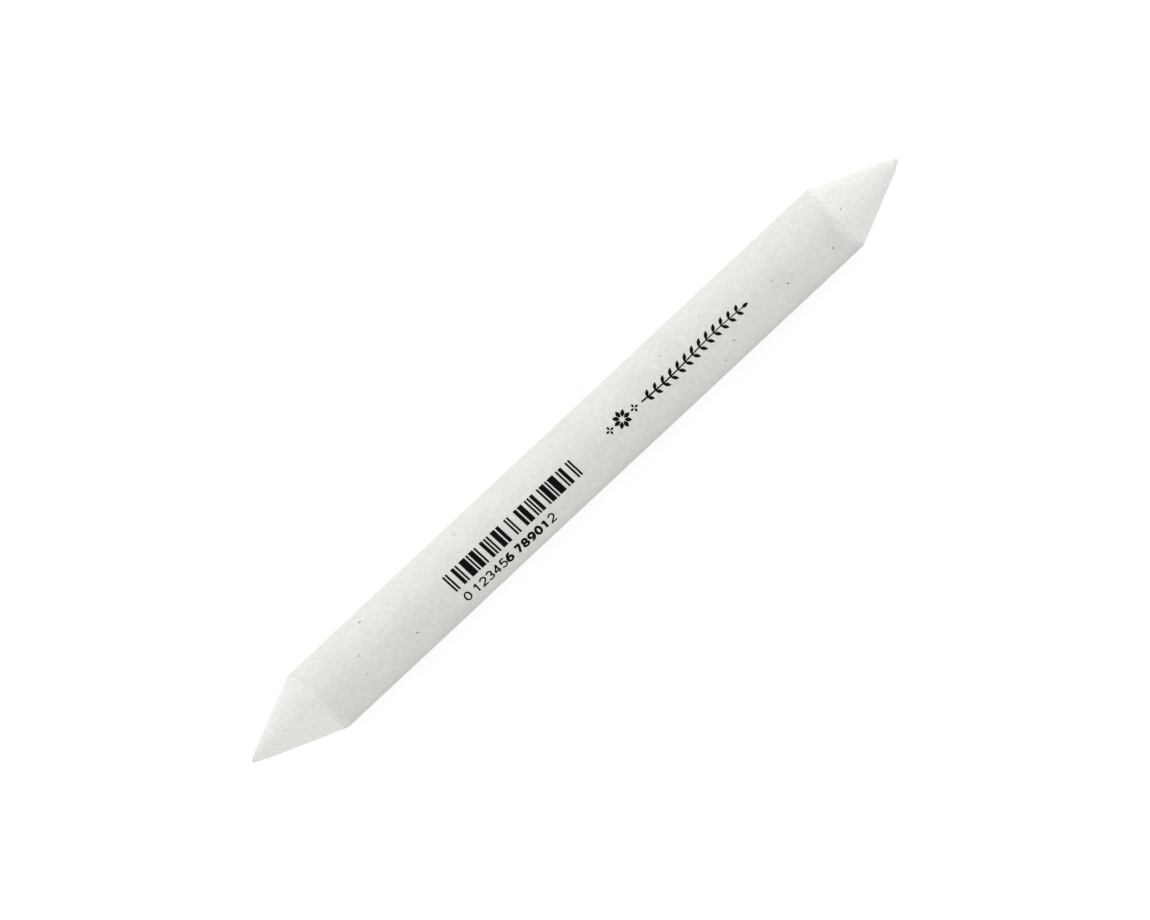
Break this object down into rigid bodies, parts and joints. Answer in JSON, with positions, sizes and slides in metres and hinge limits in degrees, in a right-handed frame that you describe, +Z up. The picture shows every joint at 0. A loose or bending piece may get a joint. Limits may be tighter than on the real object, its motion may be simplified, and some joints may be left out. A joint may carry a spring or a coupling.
{
  "type": "blending stump",
  "caption": "Double-ended blending stump: a straight stick of wound felt paper in a smooth paper cover, sanded to a cone at each end.",
  "frame": {"origin": "middle of the stump's axis, halfway between its two points", "axes": "+X along the stump's axis, the way its print reads; +Z up, out of the printed side; +Y across"},
  "size_m": [0.147, 0.0132, 0.0132],
  "materials": {
    "pith_paper": "tightly rolled, sanded",
    "felt_paper": "soft unsized felt paper, sanded",
    "cover_paper": "smooth machine-finished, uncoated",
    "printing_ink": "dull black print on the cover"
  },
  "bodies": {
    "root": {"pith": "pith_paper", "inner_sheet": "felt_paper", "middle_sheet": "felt_paper", "outer_sheet": "felt_paper", "cover_sheet": "cover_paper"}
  },
  "joints": []
}
